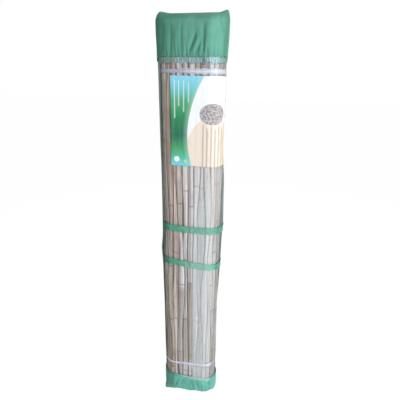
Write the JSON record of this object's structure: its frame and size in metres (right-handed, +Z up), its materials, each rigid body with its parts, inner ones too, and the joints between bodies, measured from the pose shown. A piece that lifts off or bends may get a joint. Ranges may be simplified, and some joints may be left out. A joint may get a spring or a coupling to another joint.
{
  "type": "rolled bamboo slat fence panel",
  "caption": "Roll of split bamboo slats bound with wire, standing in a clear-fronted cloth bag with gathered caps, straps, ribbon ties and an insert sheet.",
  "frame": {"origin": "middle of the base that the roll stands on", "axes": "+Z up along the slats, the clear window faces -Y, +X to the right of someone who looks at the window"},
  "size_m": [0.2437, 0.1143, 1.5349],
  "materials": {
    "bamboo": "split bamboo, weathered grey-brown skin with a low sheen",
    "bamboo_inner": "split bamboo, raw inner faces",
    "wire": "galvanised wire",
    "ribbon": "split white polypropylene ribbon",
    "strap": "woven green webbing",
    "film": "clear soft film with a shallow crinkle",
    "label": "glossy printed card with plain fields of colour",
    "bag_cloth": "thin non-woven green cloth"
  },
  "bodies": {
    "root": {"back_panel": "bag_cloth", "binding_wire_1": "wire", "binding_wire_2": "wire", "binding_wire_3": "wire", "binding_wire_4": "wire", "binding_wire_5": "wire", "bottom_cap": "bag_cloth", "clear_film": "film", "foot_tie": "ribbon", "inner_turns": "bamboo_inner", "label_sheet": "label", "lower_strap": "strap", "slat_01": "bamboo", "slat_02": "bamboo", "slat_03": "bamboo", "slat_04": "bamboo", "slat_05": "bamboo", "slat_06": "bamboo", "slat_07": "bamboo", "slat_08": "bamboo", "slat_09": "bamboo", "slat_10": "bamboo", "slat_11": "bamboo", "slat_12": "bamboo", "slat_13": "bamboo", "slat_14": "bamboo", "slat_15": "bamboo", "slat_16": "bamboo", "slat_17": "bamboo", "slat_18": "bamboo", "slat_19": "bamboo", "slat_20": "bamboo", "slat_21": "bamboo", "slat_22": "bamboo", "slat_23": "bamboo", "slat_24": "bamboo", "slat_25": "bamboo", "slat_26": "bamboo", "slat_27": "bamboo", "slat_28": "bamboo", "top_cap": "bag_cloth", "top_tie": "ribbon", "upper_strap": "strap"}
  },
  "joints": []
}
